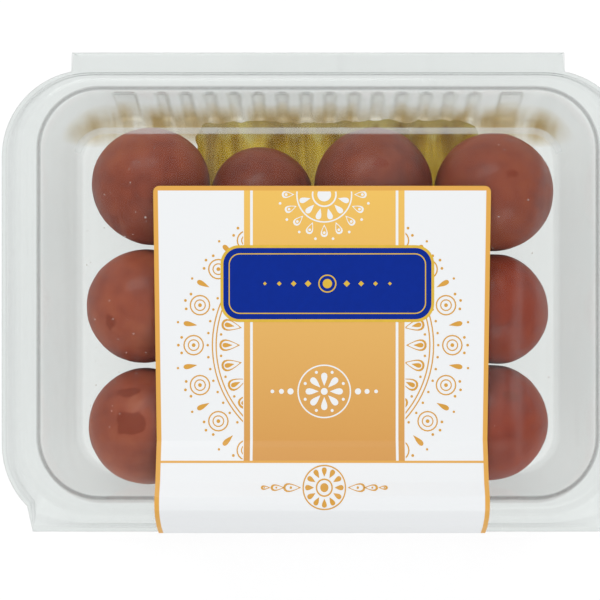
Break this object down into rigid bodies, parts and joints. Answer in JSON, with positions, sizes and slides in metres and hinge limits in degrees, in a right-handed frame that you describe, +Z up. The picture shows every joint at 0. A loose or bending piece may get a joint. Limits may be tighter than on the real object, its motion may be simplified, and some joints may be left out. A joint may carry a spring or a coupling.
{
  "type": "pack of gulab jamun",
  "caption": "Shut, clear hinged box of gulab jamun balls in rows, with a pool of syrup, a ridged lid with a sunk panel, a fluted tray and a wrap-over label.",
  "frame": {"origin": "centre of the whole pack's footprint, on the surface the tray's base rests on", "axes": "+X to the right along the long side, +Y towards the hinge, +Z up"},
  "size_m": [0.2052, 0.156, 0.0492],
  "materials": {
    "clear_sheet": "clear thermoformed sheet, glossy",
    "fried_dough": "brown-red fried dough soaked in syrup, moist sheen",
    "syrup": "clear olive-gold sugar syrup",
    "label_paper": "white coated paper with orange-gold print"
  },
  "bodies": {
    "root": {"tray": "clear_sheet", "lid": "clear_sheet", "label": "label_paper", "syrup": "syrup", "jamun_rear_1": "fried_dough", "jamun_rear_2": "fried_dough", "jamun_rear_3": "fried_dough", "jamun_rear_4": "fried_dough", "jamun_middle_1": "fried_dough", "jamun_middle_2": "fried_dough", "jamun_middle_3": "fried_dough", "jamun_middle_4": "fried_dough", "jamun_front_1": "fried_dough", "jamun_front_2": "fried_dough", "jamun_front_3": "fried_dough", "jamun_front_4": "fried_dough"}
  },
  "joints": []
}
